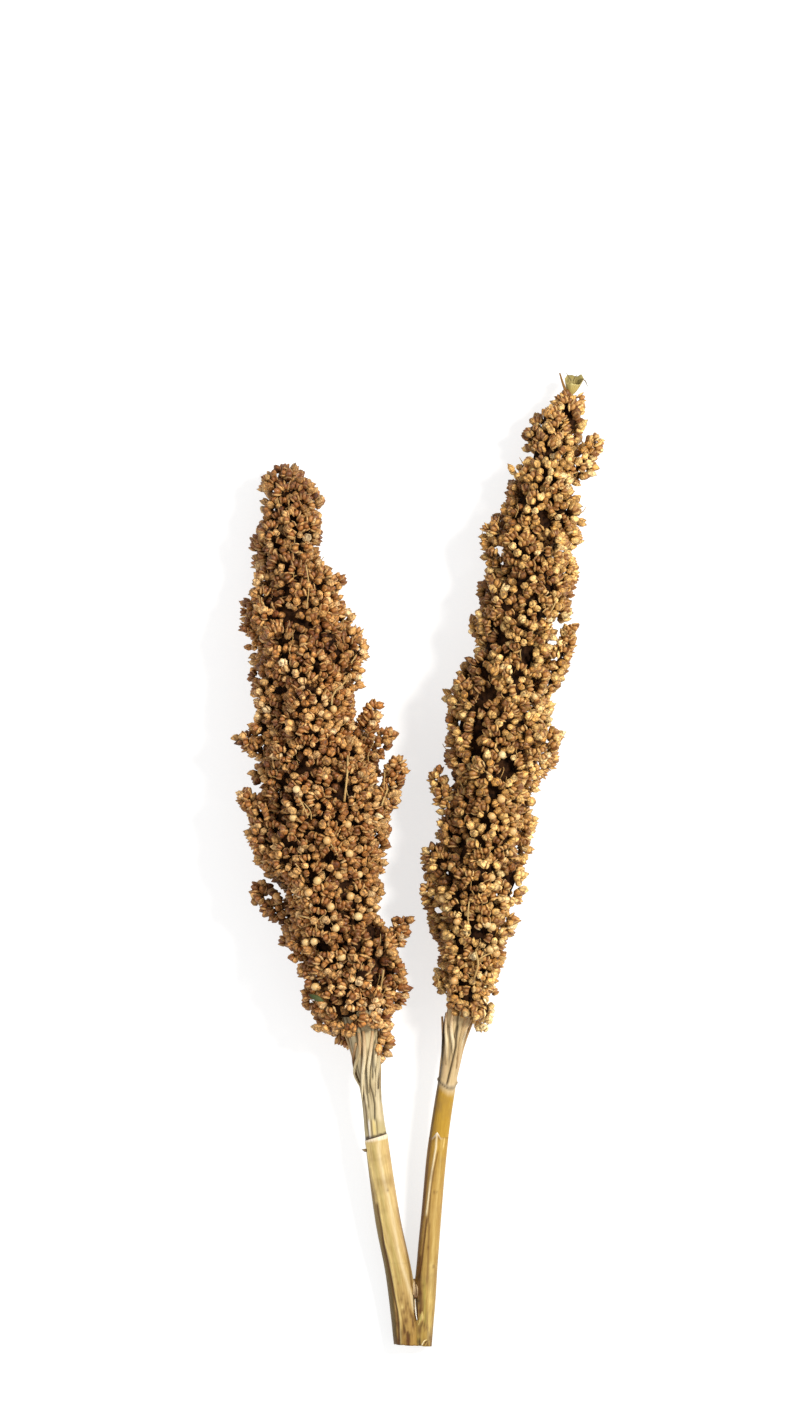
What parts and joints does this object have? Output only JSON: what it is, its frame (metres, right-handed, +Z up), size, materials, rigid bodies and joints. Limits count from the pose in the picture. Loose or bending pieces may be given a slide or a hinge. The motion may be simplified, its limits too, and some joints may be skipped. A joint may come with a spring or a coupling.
{
  "type": "sorghum seed head",
  "caption": "Dried sorghum seed heads on a forked, sheathed stalk cut at its base, lying on their side.",
  "frame": {"origin": "bottom centre of the bounding box, on the surface that the part lies on", "axes": "+Y along the stalk, from the cut end towards the tips of the heads; +X to the right with the heads away from the viewer; +Z up from the surface"},
  "size_m": [0.1815, 0.4862, 0.0632],
  "materials": {
    "straw": "dry ribbed straw, matte to satin",
    "sheath": "dry leaf sheath, fine long fibres, satin",
    "golden_sheath": "amber leaf sheath, smooth satin",
    "dark_husk": "dry husks round grain, satin glumes, red-brown clefts",
    "light_husk": "dry husks round grain, satin glumes, golden brown"
  },
  "bodies": {
    "root": {"culm": "straw", "sheath_left": "sheath", "sheath_right": "golden_sheath", "head_left": "dark_husk", "head_right": "light_husk"}
  },
  "joints": []
}
